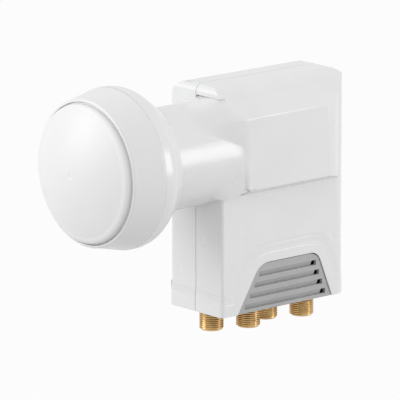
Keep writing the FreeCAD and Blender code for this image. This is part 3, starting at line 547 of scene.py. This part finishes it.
low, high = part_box("feed_window")
points, faces = domed_window(low, high)
add_piece("domed_window", points, faces, white_window, "lnb", "feed_window")
print("window", len(faces), "faces, apex at", round(low[1], 4))

# %% [markdown]
# ## The flare of the bell
# From its rim the bell widens in one straight flare to the band behind. The solid model makes it
# of two cones with a step between them. A thin turned skin lies over the step and starts and ends
# just below the solid's surface, so its own edges don't show.

# %% Bell flare
FLARE_START, FLARE_END, FLARE_THICKNESS = (0.02846, -0.0535), (0.03117, -0.04135), 0.0005


def turned_skin(start, end, thickness, rows, columns):
    """A straight run of (radius, depth) and the same run further in, turned about the feed axis."""
    share = np.linspace(0.0, 1.0, rows)
    radius, depth = (first + (last - first) * share for first, last in zip(start, end))
    radius = np.concatenate([radius, radius[::-1] - thickness])[:, None]
    depth = np.concatenate([depth, depth[::-1]])[:, None]
    angle = np.linspace(0.0, 2.0 * math.pi, columns, endpoint=False)[None, :]
    grid = np.stack([radius * np.cos(angle), depth + 0.0 * angle, radius * np.sin(angle)], axis=-1)
    return grid.reshape(-1, 3), np.flip(ring_faces(2 * rows, columns, True), axis=1)


points, faces = turned_skin(FLARE_START, FLARE_END, FLARE_THICKNESS, 20, 160)
bell_flare = add_piece("bell_flare", points, faces, white_shell, "lnb")
print("flare", len(faces), "faces")

# %% [markdown]
# ## The fairing between neck and hood
# On the near side the round neck swells softly into the sloping hood over the waveguide. In the
# solid model that swelling is a loft of flat strips. Here a smooth skin lies over the strips: its
# section changes from the neck's circle to the hood's corner by an S-curve along the feed axis, so
# it leaves the one and meets the other without an edge. On top it rises to the brow, where the two
# halves meet. It reaches down to the hood's lower edge and fades out beyond the top of the neck.
#
# Lengths are in metres, and turns are degrees from the near side upwards. A SPAN says where an
# S-curve starts and how far it goes.

# %% Sizes of the fairing
NECK_R, HOOD_SIDE, HOOD_FRONT = 0.0200, 0.0204, 0.0098
ROOF_FOOT, ROOF_TOP = np.array([0.0204, 0.0152]), np.array([0.0118, 0.0251])
BROW_LEVEL, BROW_SETBACK, BROW_ROUNDING = 0.0234, 0.0065, 0.0008
CORNER_ROUNDING, CORNER_SOFTNESS, GRAZING = 0.00025, 0.004, 0.1
LOWEST_TURN, HIGHEST_TURN, CORNER_TURN = -31.8, 120.0, 50.0
SETBACK_SPAN, DIP_SPAN, FADE_SPAN = (32.0, 22.0), (66.0, 24.0), (92.0, 25.0)
EARLIEST_START, SIDE_DELAY, TOP_DELAY = -0.0142, 0.0197, 0.008
SIDE_TURN, SIDE_SHARPNESS, TOP_TURN, TOP_LIMIT = 27.0, 3.5, 42.0, 40.0
SHORTEST_RUN, TAIL_END, TOP_DIP = 0.0025, 0.016, 1.17
BUMP_HEIGHT, BUMP_TURN, BUMP_TURN_WIDTH = 0.00025, 58.6, 4.0
BUMP_PLACE, BUMP_WIDTH = 0.0025, 0.0015
PROUD_START, PROUD_RISE, PROUD_SHARE = -0.00003, 0.00005, 0.4
SINK_DEPTH, SINK_START, SINK_LENGTH = 0.00006, 0.0105, 0.005
SKIN_THICKNESS = 0.0006


# %% Curves of the fairing
def ease(value, start=0.0, span=1.0):
    """S-curve 3t^2 - 2t^3, held at 0 before its start and at 1 after its end."""
    share = np.clip((value - start) / span, 0.0, 1.0)
    return share * share * (3.0 - 2.0 * share)


def soft_least(first, second, width):
    """The lesser of two, with the corner between them rounded over a width."""
    near = np.clip(width - np.abs(first - second), 0.0, None)
    return np.minimum(first, second) - near * near / (4.0 * width)


def swelling_run(turn):
    """Where along the axis the swelling starts and ends, for each turn round the neck."""
    end = HOOD_FRONT - BROW_SETBACK * ease(turn, *SETBACK_SPAN)
    below = np.clip(CORNER_TURN - turn, 0.0, None) / SIDE_TURN
    above = np.clip(turn - CORNER_TURN, 0.0, TOP_LIMIT) / TOP_TURN
    delay = SIDE_DELAY * (1.0 - np.exp(-below ** SIDE_SHARPNESS)) + TOP_DELAY * above ** 2
    return np.minimum(EARLIEST_START + delay, end - SHORTEST_RUN), end


def hood_section(across, up, corner):
    """The hood's radius: the least of its side, its sloping roof and its brow, with rounded corners."""
    roof = ROOF_TOP - ROOF_FOOT
    facing = np.array([roof[1], -roof[0]]) / np.linalg.norm(roof)
    side = HOOD_SIDE / np.maximum(across, GRAZING)
    slope = facing @ ROOF_FOOT / np.maximum(facing[0] * across + facing[1] * up, GRAZING)
    brow = BROW_LEVEL / np.maximum(up, GRAZING)
    return soft_least(soft_least(side, slope, corner), brow, corner + BROW_ROUNDING)


# %% Neck fairing
def closed_sheet(outer, inner):
    """Two grids of points joined into one closed skin."""
    grid = np.concatenate([outer, inner[:, ::-1]], axis=1)
    rows, columns = grid.shape[:2]
    step = np.arange(columns // 2 - 1)
    end = np.stack([step, step + 1, columns - 2 - step, columns - 1 - step], axis=-1)
    faces = [ring_faces(rows, columns, False), np.flip(end, axis=1), end + (rows - 1) * columns]
    return grid.reshape(-1, 3), np.concatenate(faces)


def neck_fairing():
    """Radius = neck + (hood - neck) * S-curve along the axis, with a small bump at the brow's end."""
    turn = np.linspace(LOWEST_TURN, HIGHEST_TURN, 182)[:, None]
    along = np.concatenate([np.linspace(0.0, 1.0, 44), np.linspace(1.0, 2.0, 13)[1:]])[None, :]
    across, up = np.cos(np.radians(turn)), np.sin(np.radians(turn))
    start, end = swelling_run(turn)
    run, tail = np.minimum(along, 1.0), np.maximum(along - 1.0, 0.0)
    place = start + (end - start) * run + (TAIL_END - end) * tail
    hood = hood_section(across, up, CORNER_ROUNDING + CORNER_SOFTNESS * (1.0 - run) ** 2)
    dip = TOP_DIP * (1.0 - run) * ease(turn, *DIP_SPAN)
    swell = (hood - NECK_R) * ease(along) * (1.0 - dip) * (1.0 - ease(turn, *FADE_SPAN))
    round_the_neck = (turn - BUMP_TURN) / BUMP_TURN_WIDTH
    along_the_neck = (place - BUMP_PLACE) / BUMP_WIDTH
    bump = BUMP_HEIGHT * np.exp(-(round_the_neck ** 2) - along_the_neck ** 2)
    proud = PROUD_START + PROUD_RISE * ease(along, 0.0, PROUD_SHARE)
    sink = SINK_DEPTH * np.clip((place - SINK_START) / SINK_LENGTH, 0.0, 1.0)
    radius = NECK_R + swell + bump + proud - sink
    within = radius - SKIN_THICKNESS
    outer = np.stack([radius * across, place, radius * up], axis=-1)
    inner = np.stack([within * across, place, within * up], axis=-1)
    return closed_sheet(outer, inner)


points, faces = neck_fairing()
fairing = add_piece("neck_fairing", points, faces, white_shell, "lnb")
first_y, last_y = points[:, 1].min(), points[:, 1].max()
print("fairing", len(faces), "faces, from", round(first_y, 4), "to", round(last_y, 4))

# %% [markdown]
# ## The studio
# A pale floor well below the part, a white backdrop, one large soft lamp at the upper left and a
# tall soft lamp on the right, whose reflection is the bright stripe along the neck.

# %% Floor and backdrop
FLOOR_REACH, FLOOR_LEVEL = 6.0, -0.135
floor_mesh = bpy.data.meshes.new("studio_floor")
corners = [(-1, -1), (1, -1), (1, 1), (-1, 1)]
floor_points = [(x * FLOOR_REACH, y * FLOOR_REACH, FLOOR_LEVEL) for x, y in corners]
floor_mesh.from_pydata(floor_points, [], [(0, 1, 2, 3)])
floor = bpy.data.objects.new("studio_floor", floor_mesh)
bpy.context.collection.objects.link(floor)


def seen_directly(tree):
    """1 for rays from the camera, from gloss and through glass; 0 for light that falls on things."""
    path = tree.nodes.new("ShaderNodeLightPath")
    first = tree.nodes.new("ShaderNodeMath")
    first.operation = "MAXIMUM"
    tree.links.new(path.outputs["Is Camera Ray"], first.inputs[0])
    tree.links.new(path.outputs["Is Glossy Ray"], first.inputs[1])
    second = tree.nodes.new("ShaderNodeMath")
    second.operation = "MAXIMUM"
    tree.links.new(first.outputs[0], second.inputs[0])
    tree.links.new(path.outputs["Is Transmission Ray"], second.inputs[1])
    return second.outputs[0]


floor_material = bpy.data.materials.new("pale_floor")
floor_material.use_nodes = True
tree = floor_material.node_tree
paint = tree.nodes["Principled BSDF"]
paint.inputs["Base Color"].default_value = (0.55, 0.55, 0.55, 1.0)
paint.inputs["Roughness"].default_value = 0.9
glow = tree.nodes.new("ShaderNodeEmission")
glow.inputs["Strength"].default_value = 1.0
share = tree.nodes.new("ShaderNodeMath")
share.operation = "MULTIPLY"
share.inputs[1].default_value = 0.94
tree.links.new(seen_directly(tree), share.inputs[0])
mix = tree.nodes.new("ShaderNodeMixShader")
tree.links.new(share.outputs[0], mix.inputs["Fac"])
tree.links.new(paint.outputs["BSDF"], mix.inputs[1])
tree.links.new(glow.outputs["Emission"], mix.inputs[2])
tree.links.new(mix.outputs["Shader"], tree.nodes["Material Output"].inputs["Surface"])
floor_mesh.materials.append(floor_material)
print("floor made")

# %% World and lamps
world = bpy.data.worlds.new("white_studio")
bpy.context.scene.world = world
world.use_nodes = True
tree = world.node_tree
dim = tree.nodes["Background"]
dim.inputs["Color"].default_value = (1.0, 1.0, 1.0, 1.0)
dim.inputs["Strength"].default_value = 0.87
bright = tree.nodes.new("ShaderNodeBackground")
bright.inputs["Strength"].default_value = 1.0
mix = tree.nodes.new("ShaderNodeMixShader")
tree.links.new(seen_directly(tree), mix.inputs["Fac"])
tree.links.new(dim.outputs["Background"], mix.inputs[1])
tree.links.new(bright.outputs["Background"], mix.inputs[2])
tree.links.new(mix.outputs["Shader"], tree.nodes["World Output"].inputs["Surface"])

camera_right = Vector((math.cos(AZIMUTH), math.sin(AZIMUTH), 0.0))
camera_up = to_camera.cross(camera_right)


def soft_lamp(name, right, up, towards, distance, width, height, power):
    """A soft lamp placed by its direction as the camera sees it, turned to face the part."""
    data = bpy.data.lights.new(name, "AREA")
    data.shape = "RECTANGLE"
    data.size = width
    data.size_y = height
    data.energy = power
    lamp = bpy.data.objects.new(name, data)
    direction = (camera_right * right + camera_up * up + to_camera * towards).normalized()
    lamp.location = AIM + direction * distance
    lamp.rotation_euler = (-direction).to_track_quat("-Z", "Y").to_euler()
    bpy.context.collection.objects.link(lamp)


soft_lamp(
    "upper_left_lamp", right=-0.93, up=0.31, towards=0.2, distance=1.5, width=0.9, height=0.9, power=8.6,
)
soft_lamp(
    "right_lamp", right=0.976, up=0.109, towards=0.177, distance=1.2, width=0.35, height=0.5, power=3.2,
)
print("studio made")

# %% View settings
bpy.context.scene.view_settings.view_transform = "Standard"
